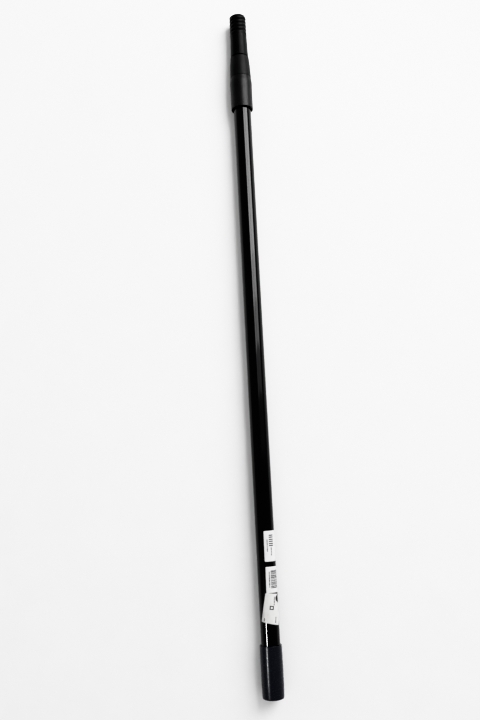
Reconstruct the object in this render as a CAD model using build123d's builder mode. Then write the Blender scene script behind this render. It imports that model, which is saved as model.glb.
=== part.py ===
"""Telescopic roller extension pole: two steel tubes, a twist-lock collar, a threaded tip and an end cap.

The collapsed pole lies on a surface along X, with its threaded tip towards +X and +Z up. The origin
is under the middle of its length, on the surface. Every size is in millimetres.
"""

from build123d import *
from math import cos, pi, sin
import os

# Overall sizes
TOTAL_LENGTH = 1075.4
AXIS_HEIGHT = 18.0
TUBE_R = 14.0
TUBE_BORE_R = 13.4
INNER_TUBE_R = 12.5
INNER_BORE_R = 11.9
TRAVEL = 900.0

# Stations along the pole
TIP_END = TOTAL_LENGTH / 2
CAP_END = -TOTAL_LENGTH / 2
CAP_LENGTH = 74.5
CAP_MOUTH = CAP_END + CAP_LENGTH
CAP_FLOOR = CAP_END + 3.5
COLLAR_START = 373.1
COLLAR_SHOULDER = 418.4
COLLAR_END = 428.0
BODY_BUTT = 426.0
NUT_START = COLLAR_END + 0.3
NUT_END = 464.3
TIP_START = NUT_END + 1.2
INNER_START = CAP_END + 9.7
INNER_END = 500.0

# End cap
CAP_R = 16.35
CAP_MOUTH_R = 16.1
CAP_TAIL_R = 15.85
CAP_EDGE_R = 2.4

# Twist-lock collar
SLEEVE_R = 17.6
SHOULDER_R = AXIS_HEIGHT
SEAM_R = 17.1
SEAM_EDGE_R = 0.25
MOUTH_BORE_R = 15.6
MOUTH_DEPTH = 8.0
NECK_BORE_R = 12.75
NECK_R = 14.0
NECK_CORE_R = 14.2
NECK_END = COLLAR_END + 12.6
SEAT_R = 13.72
LOCK_PITCH = 2.0
LOCK_DEPTH = 0.55
LOCK_START = COLLAR_END + 2.0
NUT_TOP_R = 15.1
NUT_BORE_R = 12.8
NUT_CORE_R = 14.4
NUT_WAIST_R = 16.25
NUT_RELIEF_R = 15.1
RING_R = 14.0
RING_BORE_R = 12.56
RING_SMALL_R = 13.0
RING_START = NECK_END - 4.6
RING_BACK = NECK_END + 4.0
RING_END = NECK_END + 10.0
CONE_GAP = 0.08
PIN_R = 1.5
COLLAR_PIN_X = 396.0

# Guides between the tubes
BUSH_BORE_R = 12.6
BUSH_LENGTH = 12.0
BUSH_FLANGE = 1.2
GUIDE_R = TUBE_BORE_R - 0.07
GUIDE_BORE_R = INNER_TUBE_R + 0.06
GROOVE_X = -500.0
GROOVE_DEPTH = 0.4
GROOVE_WIDTH = 2.4
PLUG_FLANGE_R = 12.9

# Threaded tip
THREAD_R = 13.7
THREAD_PITCH = 6.4
THREAD_START = 505.6
THREAD_DEPTH = 1.1
THREAD_SHAPE = 0.5
TIP_HOLLOW_R = 7.0
TIP_HOLLOW_END = 503.0
SPIGOT_START = 484.0
SHANK_R = 13.55
SHANK_FLARE_R = 14.5
TIP_STOP_R = THREAD_R + 0.1
NOSE_R = THREAD_R - THREAD_DEPTH - 0.3
NOSE_START = TIP_END - 1.6
TIP_PIN_X = 490.0

SCREW_POINTS = 24

# Paper labels: start and end along the pole, and angles from the top towards -Y
PAPER = 0.12
LABELS = {
    "size_label": (-344.3, -299.9, -10.0, 84.0),
    "barcode_label": (-388.9, -351.5, -9.0, 98.0),
    "price_label": (-437.0, -389.5, -34.0, 74.0),
}
LABEL_CORNER_R = 1.6

POLE_AXIS = Axis((0, 0, AXIS_HEIGHT), (1, 0, 0))
SECTION = Plane(origin=(0, 0, AXIS_HEIGHT), x_dir=(1, 0, 0), z_dir=(0, -1, 0))


def across(x):
    """The plane square to the pole at station x, with its local x along Y and local y along Z."""
    return Plane(origin=(x, 0, AXIS_HEIGHT), x_dir=(0, 1, 0), z_dir=(1, 0, 0))


def turn_profile(points, mode=Mode.ADD):
    """Revolve a closed profile of (station, radius) points about the pole's axis."""
    with BuildSketch(SECTION) as profile:
        with BuildLine():
            Polyline(points, close=True)
        make_face()
    revolve(profile.sketch, axis=POLE_AXIS, mode=mode)


def rim_edges(part, station, radius):
    """The circular edges of a part at one station and radius."""
    rims = part.edges().filter_by(GeomType.CIRCLE)
    rims = rims.filter_by(lambda e: abs(e.arc_center.X - station) < 0.01)
    return rims.filter_by(lambda e: abs(e.radius - radius) < 0.01)


def radial_hole(station, radius, from_r, to_r, direction, mode=Mode.SUBTRACT):
    """A round hole or pin, square to the pole's axis, from one radius to another."""
    outward = Vector(*direction)
    base = Vector(station, 0, AXIS_HEIGHT) + outward * from_r
    with BuildSketch(Plane(origin=base, z_dir=outward)) as disc:
        Circle(radius)
    extrude(disc.sketch, amount=to_r - from_r, mode=mode)


def screw_rod(start, end, core_r, depth, pitch, sharpness):
    """A right-hand screw along the pole: its section is one ridge, which turns once in each pitch."""
    outline = []
    for step in range(SCREW_POINTS):
        turn = 2 * pi * step / SCREW_POINTS
        radius = core_r + depth * (0.5 + 0.5 * cos(turn)) ** sharpness
        outline.append((radius * cos(turn), radius * sin(turn)))
    with BuildSketch(across(start), mode=Mode.PRIVATE) as section:
        with BuildLine():
            Spline(outline, periodic=True)
        make_face()
    return Solid.extrude_linear_with_rotation(
        section.sketch.faces()[0],
        center=(start, 0, AXIS_HEIGHT),
        normal=Vector(end - start, 0, 0),
        angle=360 * (end - start) / pitch,
    )


def make_outer_tube():
    """The large steel tube, drilled at each side for the collar's pins."""
    start, end = CAP_FLOOR, BODY_BUTT - BUSH_FLANGE
    with BuildPart() as outer_tube:
        turn_profile([(start, TUBE_BORE_R), (start, TUBE_R), (end, TUBE_R), (end, TUBE_BORE_R)])
        for side in (-1, 1):
            radial_hole(COLLAR_PIN_X, PIN_R, TUBE_BORE_R - 1, TUBE_R + 1, (0, side, 0))
    return outer_tube.part


def make_inner_tube():
    """The small steel tube, with a rolled groove for the guide sleeve and a hole for the tip's pin."""
    half = GROOVE_WIDTH / 2
    with BuildPart() as inner_tube:
        turn_profile(
            [
                (INNER_START, INNER_BORE_R),
                (INNER_START, INNER_TUBE_R),
                (GROOVE_X - half - GROOVE_DEPTH, INNER_TUBE_R),
                (GROOVE_X - half, INNER_TUBE_R - GROOVE_DEPTH),
                (GROOVE_X + half, INNER_TUBE_R - GROOVE_DEPTH),
                (GROOVE_X + half + GROOVE_DEPTH, INNER_TUBE_R),
                (INNER_END, INNER_TUBE_R),
                (INNER_END, INNER_BORE_R),
                (GROOVE_X + half + 2 * GROOVE_DEPTH, INNER_BORE_R),
                (GROOVE_X + half + GROOVE_DEPTH, INNER_BORE_R - GROOVE_DEPTH),
                (GROOVE_X - half - GROOVE_DEPTH, INNER_BORE_R - GROOVE_DEPTH),
                (GROOVE_X - half - 2 * GROOVE_DEPTH, INNER_BORE_R),
            ]
        )
        radial_hole(TIP_PIN_X, PIN_R, INNER_BORE_R - 1, INNER_TUBE_R + 1, (0, 0, -1))
    return inner_tube.part


def make_end_cap():
    """The moulded cap over the pole's lower end, closed at the back with a rounded edge."""
    with BuildPart() as end_cap:
        turn_profile(
            [
                (CAP_END, 0),
                (CAP_END, CAP_TAIL_R),
                (CAP_END + 12.0, CAP_R - 0.15),
                (CAP_END + 20.0, CAP_R),
                (CAP_MOUTH - 16.0, CAP_R),
                (CAP_MOUTH, CAP_MOUTH_R),
                (CAP_MOUTH, TUBE_R),
                (CAP_FLOOR, TUBE_R),
                (CAP_FLOOR, 0),
            ]
        )
        fillet(rim_edges(end_cap, CAP_END, CAP_TAIL_R), CAP_EDGE_R)
        fillet(rim_edges(end_cap, CAP_MOUTH, CAP_MOUTH_R), 0.6)
    return end_cap.part


def make_collar_body():
    """The fixed part of the twist lock: a sleeve on the large tube, and a threaded neck above it."""
    thread = screw_rod(LOCK_START, NECK_END - 0.6, NECK_CORE_R, LOCK_DEPTH, LOCK_PITCH, 1.0)
    with BuildPart() as collar_body:
        add(thread)
        turn_profile(
            [
                (COLLAR_START, MOUTH_BORE_R),
                (COLLAR_START, SLEEVE_R - 0.15),
                (COLLAR_START + 1.2, SLEEVE_R),
                (COLLAR_SHOULDER - 12.0, SLEEVE_R + 0.08),
                (COLLAR_SHOULDER - 3.0, SHOULDER_R),
                (COLLAR_SHOULDER + 1.8, SHOULDER_R - 0.1),
                (COLLAR_END, SEAM_R),
                (COLLAR_END, NECK_R),
                (NECK_END, NECK_R),
                (NECK_END, NECK_BORE_R),
                (BODY_BUTT, NECK_BORE_R),
                (BODY_BUTT, TUBE_R),
                (COLLAR_START + MOUTH_DEPTH + 2.0, TUBE_R),
                (COLLAR_START + MOUTH_DEPTH, MOUTH_BORE_R),
            ]
        )
        turn_profile(
            [
                (NECK_END + 0.1, 0),
                (NECK_END + 0.1, SEAT_R),
                (NECK_END - 5.0, NECK_BORE_R),
                (BODY_BUTT + 1.0, NECK_BORE_R),
                (BODY_BUTT + 1.0, 0),
            ],
            Mode.SUBTRACT,
        )
        fillet(rim_edges(collar_body, COLLAR_START, SLEEVE_R - 0.15), 0.5)
        fillet(rim_edges(collar_body, COLLAR_END, SEAM_R), SEAM_EDGE_R)
        for side in (-1, 1):
            radial_hole(COLLAR_PIN_X, PIN_R, TUBE_R - 0.5, SLEEVE_R + 1, (0, side, 0))
    return collar_body.part


def make_collar_pins():
    """The two pins that hold the collar's sleeve on the large tube."""
    with BuildPart() as collar_pins:
        for side in (-1, 1):
            radial_hole(COLLAR_PIN_X, PIN_R, TUBE_BORE_R + 0.05, SLEEVE_R - 0.15, (0, side, 0), Mode.ADD)
    return collar_pins.part


def make_clamp_ring():
    """The split ring with a cone at each end, which the nut squeezes onto the small tube."""
    with BuildPart() as clamp_ring:
        turn_profile(
            [
                (RING_START, RING_BORE_R),
                (RING_START, NECK_BORE_R),
                (NECK_END + CONE_GAP, SEAT_R - CONE_GAP - 0.02),
                (NECK_END + 1.2, RING_R),
                (RING_BACK, RING_R),
                (RING_END, RING_SMALL_R),
                (RING_END, RING_BORE_R),
            ]
        )
        with BuildSketch(across(RING_START - 1.0)):
            with Locations((0, -RING_R)):
                Rectangle(1.6, 6.0)
        extrude(amount=20.0, mode=Mode.SUBTRACT)
    return clamp_ring.part


def make_lock_nut():
    """The tapered nut that turns on the collar's neck and closes the clamp ring."""
    cone_start = RING_BACK + CONE_GAP
    thread_start = LOCK_START - LOCK_PITCH
    thread_end = cone_start - 4.0
    thread = screw_rod(thread_start, thread_end, NUT_CORE_R, LOCK_DEPTH, LOCK_PITCH, 1.0)
    with BuildPart() as lock_nut:
        turn_profile(
            [
                (NUT_START, NUT_CORE_R - 0.1),
                (NUT_START, SEAM_R),
                (NUT_START + 22.0, NUT_WAIST_R),
                (NUT_END, NUT_TOP_R),
                (NUT_END, NUT_BORE_R),
                (RING_END + 1.0, NUT_BORE_R),
                (RING_END + CONE_GAP, RING_SMALL_R + CONE_GAP),
                (cone_start, RING_R + CONE_GAP),
                (cone_start - 1.0, NUT_RELIEF_R),
                (thread_end - 1.0, NUT_RELIEF_R),
                (thread_end - 1.0, NUT_CORE_R - 0.1),
            ]
        )
        add(thread, mode=Mode.SUBTRACT)
        fillet(rim_edges(lock_nut, NUT_START, SEAM_R), SEAM_EDGE_R)
        fillet(rim_edges(lock_nut, NUT_END, NUT_TOP_R), 0.8)
    return lock_nut.part


def make_front_bush():
    """The flanged bush in the large tube's mouth, which guides the small tube and stops its travel."""
    end = BODY_BUTT - BUSH_FLANGE
    with BuildPart() as front_bush:
        turn_profile(
            [
                (end - BUSH_LENGTH, BUSH_BORE_R),
                (end - BUSH_LENGTH, TUBE_BORE_R),
                (end, TUBE_BORE_R),
                (end, TUBE_R),
                (BODY_BUTT, TUBE_R),
                (BODY_BUTT, BUSH_BORE_R),
            ]
        )
    return front_bush.part


def make_guide_sleeve():
    """The split sleeve snapped on the small tube's lower end, which slides inside the large tube."""
    start = INNER_START + 0.5
    end = BODY_BUTT - BUSH_FLANGE - BUSH_LENGTH - TRAVEL - 0.4
    rib_half = GROOVE_WIDTH / 2 - 0.2
    with BuildPart() as guide_sleeve:
        turn_profile([(start, GUIDE_BORE_R), (start, GUIDE_R), (end, GUIDE_R), (end, GUIDE_BORE_R)])
        turn_profile(
            [
                (GROOVE_X - rib_half, INNER_TUBE_R - GROOVE_DEPTH + 0.08),
                (GROOVE_X - rib_half, GUIDE_R - 0.2),
                (GROOVE_X + rib_half, GUIDE_R - 0.2),
                (GROOVE_X + rib_half, INNER_TUBE_R - GROOVE_DEPTH + 0.08),
            ]
        )
        with BuildSketch(across(start - 1.0)):
            with Locations((0, GUIDE_R)):
                Rectangle(2.0, 6.0)
        extrude(amount=end - start + 2.0, mode=Mode.SUBTRACT)
    return guide_sleeve.part


def make_end_plug():
    """The moulded plug in the small tube's lower end, whose flange keeps the guide sleeve in place."""
    with BuildPart() as end_plug:
        turn_profile(
            [
                (INNER_START - 2.5, 3.0),
                (INNER_START - 2.5, PLUG_FLANGE_R),
                (INNER_START, PLUG_FLANGE_R),
                (INNER_START, INNER_BORE_R),
                (INNER_START + 15.0, INNER_BORE_R),
                (INNER_START + 16.0, INNER_BORE_R - 0.8),
                (INNER_START + 16.0, INNER_BORE_R - 3.0),
                (INNER_START, INNER_BORE_R - 3.0),
                (INNER_START, 3.0),
            ]
        )
    return end_plug.part


def make_threaded_tip():
    """The moulded tip on the small tube, with the coarse thread that takes a roller frame's handle."""
    root_r = THREAD_R - THREAD_DEPTH
    thread = screw_rod(THREAD_START, TIP_END, root_r, THREAD_DEPTH, THREAD_PITCH, THREAD_SHAPE)
    with BuildPart() as threaded_tip:
        add(thread)
        turn_profile(
            [
                (TIP_START, INNER_TUBE_R),
                (TIP_START, SHANK_FLARE_R),
                (TIP_START + 3.0, SHANK_FLARE_R - 0.1),
                (TIP_START + 20.0, SHANK_R + 0.35),
                (THREAD_START - 6.0, SHANK_R),
                (THREAD_START - 2.0, SHANK_R),
                (THREAD_START - 1.0, TIP_STOP_R),
                (THREAD_START, TIP_STOP_R),
                (THREAD_START, 0),
                (SPIGOT_START, 0),
                (SPIGOT_START, INNER_BORE_R),
                (INNER_END, INNER_BORE_R),
                (INNER_END, INNER_TUBE_R),
            ]
        )
        turn_profile(
            [(NOSE_START, THREAD_R + 0.4), (TIP_END, NOSE_R), (TIP_END + 1.0, NOSE_R), (TIP_END + 1.0, 20.0)],
            Mode.SUBTRACT,
        )
        turn_profile(
            [
                (SPIGOT_START - 1.0, 0),
                (SPIGOT_START - 1.0, TIP_HOLLOW_R),
                (TIP_HOLLOW_END, TIP_HOLLOW_R),
                (TIP_HOLLOW_END, 0),
            ],
            Mode.SUBTRACT,
        )
        fillet(rim_edges(threaded_tip, TIP_START, SHANK_FLARE_R), 0.5)
        radial_hole(TIP_PIN_X, PIN_R, TIP_HOLLOW_R - 1.0, SHANK_FLARE_R + 1, (0, 0, -1))
    return threaded_tip.part


def make_tip_pin():
    """The pin through the tip's shank and the small tube, on the underside."""
    with BuildPart() as tip_pin:
        radial_hole(TIP_PIN_X, PIN_R, TIP_HOLLOW_R + 0.2, SHANK_R - 0.1, (0, 0, -1), Mode.ADD)
    return tip_pin.part


def make_label(start, end, first_angle, last_angle):
    """A paper label wrapped round the large tube, from one angle to another past the top."""
    length = end - start
    with BuildPart() as label:
        with BuildSketch(SECTION.rotated((first_angle, 0, 0))):
            with Locations((start + length / 2, TUBE_R + PAPER / 2)):
                Rectangle(length, PAPER)
        revolve(axis=POLE_AXIS, revolution_arc=last_angle - first_angle)
        corners = label.edges().filter_by(lambda e: abs(e.length - PAPER) < 0.01)
        fillet(corners, LABEL_CORNER_R)
    return label.part


os.makedirs("parts", exist_ok=True)

parts = {
    "outer_tube": make_outer_tube(),
    "inner_tube": make_inner_tube(),
    "end_cap": make_end_cap(),
    "collar_body": make_collar_body(),
    "collar_pins": make_collar_pins(),
    "clamp_ring": make_clamp_ring(),
    "lock_nut": make_lock_nut(),
    "front_bush": make_front_bush(),
    "guide_sleeve": make_guide_sleeve(),
    "end_plug": make_end_plug(),
    "threaded_tip": make_threaded_tip(),
    "tip_pin": make_tip_pin(),
}
for label_name, extent in LABELS.items():
    parts[label_name] = make_label(*extent)

for part_name, part in parts.items():
    part.label = part_name
    export_step(part, f"parts/{part_name}.step")
    print(f"{part_name}: {part.volume:.1f} mm3, {len(part.solids())} solid(s), valid {part.is_valid}")
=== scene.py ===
"""The looks of a telescopic roller extension pole, in metres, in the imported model's own frame."""

import math
import random

import bpy
from mathutils import Matrix, Vector


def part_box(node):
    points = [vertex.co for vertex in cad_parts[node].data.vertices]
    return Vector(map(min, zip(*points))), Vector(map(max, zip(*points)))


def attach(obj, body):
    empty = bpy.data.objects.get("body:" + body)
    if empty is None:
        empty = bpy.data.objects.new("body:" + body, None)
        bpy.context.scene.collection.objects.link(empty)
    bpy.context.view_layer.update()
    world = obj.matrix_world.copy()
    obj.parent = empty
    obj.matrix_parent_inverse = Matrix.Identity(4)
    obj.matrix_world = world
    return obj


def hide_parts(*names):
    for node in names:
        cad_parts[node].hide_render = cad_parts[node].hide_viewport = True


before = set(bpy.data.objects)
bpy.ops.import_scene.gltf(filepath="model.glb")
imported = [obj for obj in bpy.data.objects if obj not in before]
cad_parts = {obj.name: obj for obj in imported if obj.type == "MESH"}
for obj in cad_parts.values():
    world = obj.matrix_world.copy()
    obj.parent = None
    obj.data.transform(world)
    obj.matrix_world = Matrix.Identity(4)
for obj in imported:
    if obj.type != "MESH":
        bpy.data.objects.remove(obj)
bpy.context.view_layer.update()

MM = 0.001
tube_low, tube_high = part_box("outer_tube")
AXIS_Z = (tube_low.z + tube_high.z) / 2
TUBE_R = (tube_high.z - tube_low.z) / 2
PAPER = 0.10 * MM


# ---------------------------------------------------------------- node materials


class Finish:
    """A Principled material under construction, with short calls for the nodes that it uses."""

    def __init__(self, name, colour, roughness, ior=1.5):
        self.material = bpy.data.materials.new(name)
        self.material.use_nodes = True
        self.nodes = self.material.node_tree.nodes
        self.links = self.material.node_tree.links
        self.shader = self.nodes["Principled BSDF"]
        self.shader.inputs["Base Color"].default_value = (*colour, 1.0)
        self.shader.inputs["Roughness"].default_value = roughness
        self.shader.inputs["IOR"].default_value = ior
        self.place = self.nodes.new("ShaderNodeTexCoord").outputs["Object"]
        self.height = None

    def mapped(self, scale):
        """The object's own coordinates in metres, multiplied by a scale along each axis."""
        mapping = self.nodes.new("ShaderNodeMapping")
        mapping.inputs["Scale"].default_value = scale
        self.links.new(self.place, mapping.inputs["Vector"])
        return mapping.outputs["Vector"]

    def noise(self, scale, detail=3.0, roughness=0.55, stretch=(1, 1, 1)):
        """A noise value with about `scale` lumps in a metre."""
        texture = self.nodes.new("ShaderNodeTexNoise")
        texture.inputs["Scale"].default_value = scale
        texture.inputs["Detail"].default_value = detail
        texture.inputs["Roughness"].default_value = roughness
        self.links.new(self.mapped(stretch), texture.inputs["Vector"])
        return texture.outputs["Fac"]

    def cells(self, scale, stretch=(1, 1, 1)):
        """The distance to the nearest of scattered points, about `scale` of them in a metre."""
        texture = self.nodes.new("ShaderNodeTexVoronoi")
        texture.inputs["Scale"].default_value = scale
        self.links.new(self.mapped(stretch), texture.inputs["Vector"])
        return texture.outputs["Distance"]

    def spread(self, value, low_in, high_in, low_out, high_out):
        """Maps a value from one range to another, held at its ends."""
        node = self.nodes.new("ShaderNodeMapRange")
        settings = (low_in, high_in, low_out, high_out)
        for socket, number in zip(node.inputs[1:5], settings):
            socket.default_value = number
        self.links.new(value, node.inputs["Value"])
        return node.outputs["Result"]

    def colours(self, value, stops):
        """Colours the surface by a value, through (position, colour) stops."""
        ramp = self.nodes.new("ShaderNodeValToRGB")
        elements = ramp.color_ramp.elements
        while len(elements) < len(stops):
            elements.new(0.5)
        for element, (position, colour) in zip(elements, stops):
            element.position = position
            element.color = (*colour, 1.0)
        self.links.new(value, ramp.inputs["Fac"])
        self.links.new(ramp.outputs["Color"], self.shader.inputs["Base Color"])

    def rough(self, value, low_in, high_in, low_out, high_out):
        """Drives the roughness by a value."""
        result = self.spread(value, low_in, high_in, low_out, high_out)
        self.links.new(result, self.shader.inputs["Roughness"])

    def bump(self, value, strength, distance):
        """Adds a layer of relief, `distance` metres high at full strength."""
        node = self.nodes.new("ShaderNodeBump")
        node.inputs["Strength"].default_value = strength
        node.inputs["Distance"].default_value = distance
        self.links.new(value, node.inputs["Height"])
        if self.height is not None:
            self.links.new(self.height, node.inputs["Normal"])
        self.height = node.outputs["Normal"]
        self.links.new(self.height, self.shader.inputs["Normal"])


def lacquered_steel(name, dark, grey, gloss):
    """Gloss lacquer on drawn tube: faint orange peel, dust, and fine rubs along the tube."""
    finish = Finish(name, dark, gloss)
    dust = finish.noise(900.0, 4.0, 0.7, (0.25, 1, 1))
    finish.colours(dust, [(0.0, dark), (0.62, dark), (0.86, grey)])
    rubs = finish.noise(420.0, 5.0, 0.75, (0.03, 1, 1))
    finish.rough(rubs, 0.35, 0.75, gloss, gloss + 0.06)
    finish.bump(finish.noise(260.0, 1.0), 0.04, 0.00003)
    finish.bump(finish.noise(1800.0, 2.0, 0.5, (0.02, 1, 1)), 0.03, 0.00001)
    return finish.material


def moulded_plastic(name, dark, light, roughness, grain, relief, specular=0.5):
    """Moulded plastic with a fine eroded grain, uneven sheen and a little handling dust."""
    finish = Finish(name, dark, roughness, 1.47)
    finish.shader.inputs["Specular IOR Level"].default_value = specular
    patches = finish.noise(60.0, 5.0, 0.6)
    finish.colours(patches, [(0.30, dark), (0.72, light)])
    finish.rough(finish.noise(240.0, 4.0, 0.65), 0.3, 0.75, roughness - 0.05, roughness + 0.09)
    finish.bump(finish.cells(grain), 0.35, relief)
    finish.bump(finish.noise(grain * 1.7, 3.0), 0.25, relief)
    return finish.material


def drawn_steel(name):
    """Plain steel pins with turning marks."""
    finish = Finish(name, (0.56, 0.56, 0.57), 0.32)
    finish.shader.inputs["Metallic"].default_value = 1.0
    finish.rough(finish.noise(2600.0, 3.0), 0.3, 0.7, 0.25, 0.45)
    finish.bump(finish.noise(3000.0, 2.0), 0.2, 0.00002)
    return finish.material


def natural_acetal(name):
    """Off-white moulded acetal with slight clouding and rubbed grey tracks."""
    finish = Finish(name, (0.72, 0.71, 0.66), 0.32, 1.48)
    clouds = finish.noise(180.0, 4.0, 0.6, (0.2, 1, 1))
    finish.colours(clouds, [(0.3, (0.62, 0.61, 0.56)), (0.7, (0.76, 0.75, 0.70))])
    finish.rough(clouds, 0.3, 0.7, 0.26, 0.42)
    finish.bump(finish.noise(900.0, 3.0), 0.2, 0.00003)
    finish.shader.inputs["Subsurface Weight"].default_value = 0.15
    finish.shader.inputs["Subsurface Scale"].default_value = 0.002
    return finish.material


def label_paper(name, white, shade):
    """Coated white label paper with faint mottling, fibres and tiny cockles."""
    finish = Finish(name, white, 0.42, 1.45)
    mottle = finish.noise(210.0, 5.0, 0.62)
    finish.colours(mottle, [(0.25, shade), (0.68, white)])
    finish.rough(finish.noise(1500.0, 3.0), 0.3, 0.7, 0.36, 0.52)
    finish.bump(finish.noise(130.0, 2.0), 0.35, 0.00012)
    finish.bump(finish.noise(5200.0, 3.0), 0.25, 0.00002)
    return finish.material


def printed_ink(name, colour):
    """Thermal print that is slightly broken where it misses the paper's high spots."""
    finish = Finish(name, colour, 0.5)
    speckle = finish.noise(4200.0, 3.0, 0.6)
    worn = tuple(min(1.0, channel + 0.16) for channel in colour)
    finish.colours(speckle, [(0.56, colour), (0.74, worn)])
    finish.bump(speckle, 0.15, 0.00001)
    return finish.material


TUBE_LACQUER = lacquered_steel("tube_lacquer", (0.0015, 0.0015, 0.0018), (0.006, 0.006, 0.0065), 0.05)
INNER_LACQUER = lacquered_steel("inner_tube_lacquer", (0.006, 0.006, 0.007), (0.02, 0.02, 0.02), 0.2)
CAP_PLASTIC = moulded_plastic(
    "cap_plastic", (0.016, 0.018, 0.024), (0.020, 0.022, 0.030), 0.24, 1400.0, 0.00002
)
SLEEVE_PLASTIC = moulded_plastic(
    "collar_sleeve_plastic", (0.0090, 0.0092, 0.0098), (0.0130, 0.0132, 0.0140), 0.40, 1700.0, 0.00004, 0.47
)
NUT_PLASTIC = moulded_plastic(
    "lock_nut_plastic", (0.0110, 0.0112, 0.0118), (0.0150, 0.0152, 0.0160), 0.50, 1700.0, 0.00004, 0.36
)
TIP_PLASTIC = moulded_plastic(
    "tip_plastic", (0.0080, 0.0082, 0.0086), (0.0120, 0.0122, 0.0128), 0.42, 1500.0, 0.00003, 0.27
)
PLUG_PLASTIC = moulded_plastic(
    "plug_plastic", (0.03, 0.03, 0.03), (0.045, 0.045, 0.045), 0.5, 1500.0, 0.00003
)
PIN_STEEL = drawn_steel("pin_steel")
ACETAL = natural_acetal("guide_acetal")
LABEL_PAPER = label_paper("coated_label_paper", (0.64, 0.64, 0.64), (0.58, 0.58, 0.585))
PRICE_PAPER = label_paper("price_label_paper", (0.60, 0.60, 0.595), (0.54, 0.54, 0.535))
INK = printed_ink("label_ink", (0.035, 0.035, 0.04))

CAD_FINISHES = {
    "outer_tube": TUBE_LACQUER,
    "inner_tube": INNER_LACQUER,
    "end_cap": CAP_PLASTIC,
    "collar_body": SLEEVE_PLASTIC,
    "collar_pins": PIN_STEEL,
    "clamp_ring": ACETAL,
    "lock_nut": NUT_PLASTIC,
    "front_bush": ACETAL,
    "guide_sleeve": ACETAL,
    "end_plug": PLUG_PLASTIC,
    "threaded_tip": TIP_PLASTIC,
    "tip_pin": PIN_STEEL,
}


def paint_cad_nodes():
    """Gives each shown CAD node its finish."""
    for node, material in CAD_FINISHES.items():
        mesh_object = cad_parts[node]
        for slot in mesh_object.material_slots:
            slot.link = "OBJECT"
            slot.material = material


paint_cad_nodes()


# ---------------------------------------------------------------- paper labels


class Label:
    """A sheet of label paper on the tube. Its marks are printed (start, end, low, high) boxes in
    millimetres, measured along the pole from the label's tip end and across from its first edge."""

    STEP = 1.0

    def __init__(self, name, length, width, corner):
        self.name = name
        self.length = length
        self.width = width
        self.corner = corner
        self.marks = []

    def mark(self, start, end, low, high):
        self.marks.append((start, end, low, high))

    def text_line(self, seed, start, end, low, high):
        """A line of small print, as unreadable strokes of uneven length."""
        strokes = random.Random(seed)
        place = start
        while place < end:
            stroke = strokes.uniform(0.5, 1.3)
            self.mark(place, min(place + stroke, end), low, high)
            place += stroke + strokes.uniform(0.3, 0.7)

    def lines(self, size, edges):
        """Grid lines over one side of the sheet: evenly spaced ones, and one at each mark's edge."""
        count = math.ceil(size / self.STEP)
        even = [size * step / count for step in range(count + 1)]
        sharp = sorted({round(edge, 4) for edge in edges})
        kept = [line for line in even if all(abs(line - edge) > 0.25 for edge in sharp)]
        ends = [0.0, size]
        inner = [line for line in kept + sharp if 0.05 < line < size - 0.05]
        return sorted(set(ends + inner))

    def rounded(self, along, across):
        """The point of the sheet, pulled in to the rounded corner if it is outside it."""
        r = self.corner
        centre_a = min(max(along, r), self.length - r)
        centre_c = min(max(across, r), self.width - r)
        reach = math.hypot(along - centre_a, across - centre_c)
        if reach <= r:
            return along, across
        return centre_a + (along - centre_a) * r / reach, centre_c + (across - centre_c) * r / reach

    def build(self, place, paper):
        """Makes the sheet, where place(along, across) gives (station, angle, lift) in m and radians."""
        rows = self.lines(self.length, [e for m in self.marks for e in m[0:2]])
        columns = self.lines(self.width, [e for m in self.marks for e in m[2:4]])
        points = []
        for along in rows:
            for across in columns:
                station, angle, lift = place(*self.rounded(along, across))
                radius = TUBE_R + PAPER + lift
                points.append((station, -radius * math.sin(angle), AXIS_Z + radius * math.cos(angle)))
        faces, finishes = [], []
        for i in range(len(rows) - 1):
            for j in range(len(columns) - 1):
                first = i * len(columns) + j
                faces.append((first, first + len(columns), first + 1 + len(columns), first + 1))
                middle = ((rows[i] + rows[i + 1]) / 2, (columns[j] + columns[j + 1]) / 2)
                finishes.append(int(self.is_printed(*middle)))
        mesh = bpy.data.meshes.new(self.name)
        mesh.from_pydata(points, [], faces)
        mesh.materials.append(paper)
        mesh.materials.append(INK)
        for face, finish in zip(mesh.polygons, finishes):
            face.material_index = finish
            face.use_smooth = True
        sheet = bpy.data.objects.new(self.name, mesh)
        bpy.context.scene.collection.objects.link(sheet)
        thickness = sheet.modifiers.new("paper_thickness", "SOLIDIFY")
        thickness.thickness = PAPER
        thickness.offset = -1.0
        thickness.material_offset = -2
        thickness.material_offset_rim = -2
        return sheet

    def is_printed(self, along, across):
        return any(start < along < end and low < across < high for start, end, low, high in self.marks)


def along_tube(node, first_angle, skew, lifts):
    """The place of a sheet that follows the tube from the tip end of its CAD node. skew is how far
    its first edge turns, in radians, by its other end."""
    low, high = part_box(node)
    length = (high.x - low.x) / MM

    def place(along, across):
        station = high.x - along * MM
        angle = first_angle + skew * along / length + across * MM / TUBE_R
        return station, angle, lifts(along, across)

    return place, length


def corner_lift(length, width, height, reach, corners):
    """The lift of a sheet near some of its corners, each given as (0 or 1 along, 0 or 1 across)."""

    def lift(along, across):
        total = 0.0
        for end, side in corners:
            away = math.hypot(along - end * length, across - side * width)
            total += height * max(0.0, 1.0 - away / reach) ** 2
        return total * MM

    return lift


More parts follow.
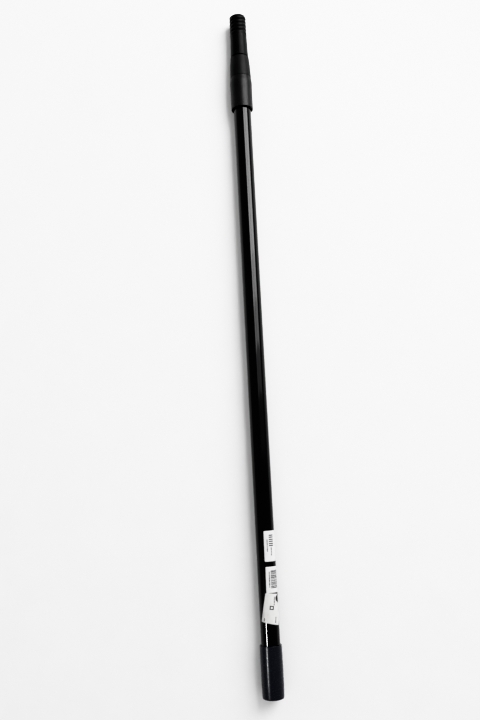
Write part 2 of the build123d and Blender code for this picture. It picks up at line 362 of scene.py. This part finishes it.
def make_size_label():
    """The first label: a row of bold strokes, with small print after and beside them."""
    width = 23.0
    lift = corner_lift(44.4, width, 0.35, 7.0, ((1, 0), (0, 1)))
    place, length = along_tube("size_label", math.radians(-9.5), math.radians(-2.0), lift)
    label = Label("size_label_sheet", length, width, 1.8)
    stroke, pair_step = 1.5, 2.8
    for pair in (5.8, 11.8, 17.8):
        for start in (pair, pair + pair_step):
            label.mark(start, start + stroke, 7.6, 15.2)
    label.text_line(11, 23.5, 36.0, 10.2, 12.0)
    label.text_line(12, 12.5, 30.0, 4.0, 5.8)
    sheet = label.build(place, LABEL_PAPER)
    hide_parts("size_label")
    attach(sheet, "pole_body")


def make_barcode_label():
    """The second label: a made-up bar pattern beside a row of small print."""
    width = 26.0
    lift = corner_lift(37.4, width, 0.3, 6.0, ((0, 0),))
    place, length = along_tube("barcode_label", math.radians(-8.7), math.radians(-3.0), lift)
    label = Label("barcode_label_sheet", length, width, 1.0)
    bars = random.Random(7)
    along = 5.5
    while along < 31.5:
        bar = bars.choice((0.4, 0.4, 0.8, 1.2))
        label.mark(along, along + bar, 7.6, 22.0)
        along += bar + bars.choice((0.4, 0.4, 0.8, 0.8))
    label.text_line(21, 7.0, 29.5, 4.6, 6.4)
    sheet = label.build(place, LABEL_PAPER)
    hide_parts("barcode_label")
    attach(sheet, "pole_body")


def make_price_label():
    """The third label: stuck on askew, with a small square, and with its far edge lifted off the tube
    in a shallow wave."""
    tip_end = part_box("price_label")[1].x
    length, width = 41.5, 27.0
    left_top = (tip_end + 1.0 * MM, math.radians(-16.8))
    left_end = (tip_end - 39.4 * MM, math.radians(-54.0))
    right_top = (tip_end - 1.8 * MM, math.radians(80.0))
    right_end = (tip_end - 46.0 * MM, math.radians(64.0))

    def place(along, across):
        p, q = along / length, across / width
        start = [a + (b - a) * q for a, b in zip(left_top, right_top)]
        end = [a + (b - a) * q for a, b in zip(left_end, right_end)]
        station, angle = (a + (b - a) * p for a, b in zip(start, end))
        notch = math.exp(-(((p - 0.13) / 0.14) ** 2))
        bulge = math.exp(-(((p - 0.62) / 0.22) ** 2))
        far = max(0.0, (q - 0.55) / 0.45)
        angle += far**2 * math.radians(-38.0 * notch + 12.0 * bulge)
        lift = far**2 * (0.9 * bulge + 0.5 * notch + 0.2) * MM
        lift += 0.35 * MM * max(0.0, 1.0 - math.hypot(along - length, across) / 9.0) ** 2
        return station, angle, lift

    label = Label("price_label_sheet", length, width, 1.0)
    square_start, square_end, square_low, square_high = 16.8, 22.2, 9.8, 16.1
    for low_edge in (square_low, 14.6):
        label.mark(square_start, square_end, low_edge, low_edge + 1.5)
    for start in (square_start, 20.9):
        label.mark(start, start + 1.3, square_low + 1.4, square_high - 1.4)
    label.text_line(31, 4.0, 15.8, 15.6, 17.6)
    label.text_line(32, 31.0, 38.5, 19.5, 21.3)
    label.text_line(33, 35.5, 39.5, 3.4, 5.2)
    sheet = label.build(place, PRICE_PAPER)
    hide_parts("price_label")
    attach(sheet, "pole_body")


make_size_label()
make_barcode_label()
make_price_label()


# ---------------------------------------------------------------- floor, light and camera


def make_floor():
    """A wide pale sheet under the pole."""
    half = 6.0
    mesh = bpy.data.meshes.new("floor")
    corners = [(-half, -half, 0), (half, -half, 0), (half, half, 0), (-half, half, 0)]
    mesh.from_pydata(corners, [], [(0, 1, 2, 3)])
    floor = bpy.data.objects.new("floor", mesh)
    bpy.context.scene.collection.objects.link(floor)
    finish = Finish("pale_floor", (0.86, 0.86, 0.865), 0.75)
    mottle = finish.noise(14.0, 5.0, 0.6)
    finish.colours(mottle, [(0.3, (0.83, 0.83, 0.835)), (0.7, (0.87, 0.87, 0.875))])
    mesh.materials.append(finish.material)


def area_light(name, centre, size, facing, axis, radiance):
    """A rectangular light of one brightness. size is along axis and across it, in metres."""
    data = bpy.data.lights.new(name, "AREA")
    data.shape = "RECTANGLE"
    data.size, data.size_y = size
    data.energy = radiance * math.pi * size[0] * size[1]
    light = bpy.data.objects.new(name, data)
    z_axis = -Vector(facing).normalized()
    x_axis = Vector(axis).normalized()
    y_axis = z_axis.cross(x_axis)
    turn = Matrix((x_axis, y_axis, z_axis)).transposed().to_4x4()
    light.matrix_world = Matrix.Translation(centre) @ turn
    bpy.context.scene.collection.objects.link(light)
    return light


LIGHT_DISTANCE = 2.0
WINDOW_PANES = ((-1.06, -0.405), (-0.345, 0.86))  # near and far edges, across the pole
WINDOW_BANDS = (  # start and end along the pole, and radiance
    (-0.1, 0.15, 0.3),
    (0.15, 0.35, 1.5),
    (0.35, 0.55, 4.2),
    (0.55, 0.75, 7.0),
    (0.75, 2.2, 9.0),
)


def make_window():
    """A tall window beside the pole, in two panes either side of a mullion. It is brightest towards
    the pole's tip, and dims in bands towards its end cap."""
    tilt = math.radians(42.0)
    to_window = Vector((0, -math.sin(tilt), math.cos(tilt)))
    across = Vector((0, -math.cos(tilt), -math.sin(tilt)))
    for i, (near, far) in enumerate(WINDOW_PANES):
        for j, (start, end, radiance) in enumerate(WINDOW_BANDS):
            on_axis = Vector(((start + end) / 2, 0, AXIS_Z))
            centre = to_window * LIGHT_DISTANCE + across * (near + far) / 2 + on_axis
            size = (end - start, far - near)
            area_light(f"window_{i}_{j}", centre, size, -to_window, (1, 0, 0), radiance)


def make_strip():
    """A narrow strip of light on the other side, towards the end cap, seen only in reflections."""
    tilt = math.radians(-44.0)
    to_strip = Vector((0, -math.sin(tilt), math.cos(tilt)))
    centre = to_strip * LIGHT_DISTANCE + Vector((-0.84, 0, AXIS_Z))
    strip = area_light("strip", centre, (0.22, 0.10), -to_strip, (1, 0, 0), 150.0)
    strip.visible_diffuse = False


def make_world():
    """An even, nearly neutral surround."""
    world = bpy.data.worlds.new("surround")
    world.use_nodes = True
    background = world.node_tree.nodes["Background"]
    background.inputs["Color"].default_value = (1.0, 0.995, 0.99, 1.0)
    background.inputs["Strength"].default_value = 0.80
    bpy.context.scene.world = world


def make_camera():
    """A camera above the pole, leaning a little towards its tip."""
    place = Vector((-0.2332, 0.0241, AXIS_Z + 1.1801))
    pitch, roll = math.radians(9.29), math.radians(-2.86)
    forward = Vector((math.sin(pitch), 0, -math.cos(pitch)))
    up = Vector((math.cos(pitch), 0, math.sin(pitch)))
    right = forward.cross(up)
    turned_right = right * math.cos(roll) + up * math.sin(roll)
    turned_up = up * math.cos(roll) - right * math.sin(roll)
    data = bpy.data.cameras.new("camera")
    data.sensor_width = 36.0
    data.lens = 38.595
    data.clip_start, data.clip_end = 0.05, 50.0
    camera = bpy.data.objects.new("camera", data)
    rotation = Matrix((turned_right, turned_up, -forward)).transposed().to_4x4()
    camera.matrix_world = Matrix.Translation(place) @ rotation
    bpy.context.scene.collection.objects.link(camera)
    bpy.context.scene.camera = camera


TONE_WHITE = 2.0
TONE_POINTS = (  # linear light, and what is shown of it
    (0.038, 0.001),
    (0.07, 0.008),
    (0.11, 0.022),
    (0.20, 0.085),
    (0.35, 0.22),
    (0.55, 0.44),
    (0.80, 0.72),
    (1.10, 0.88),
    (1.50, 0.94),
    (2.00, 0.95),
)


def set_tone_curve():
    """A photographic tone curve over linear light: deep blacks, and a soft shoulder under white."""
    view = bpy.context.scene.view_settings
    view.view_transform = "Standard"
    view.use_curve_mapping = True
    view.curve_mapping.white_level = (TONE_WHITE, TONE_WHITE, TONE_WHITE)
    points = view.curve_mapping.curves[3].points
    points[0].location = (0.0, 0.0)
    points[1].location = (1.0, TONE_POINTS[-1][1])
    for light, shown in TONE_POINTS[:-1]:
        points.new(light / TONE_WHITE, shown)
    view.curve_mapping.update()


make_floor()
make_window()
make_strip()
make_world()
make_camera()
set_tone_curve()
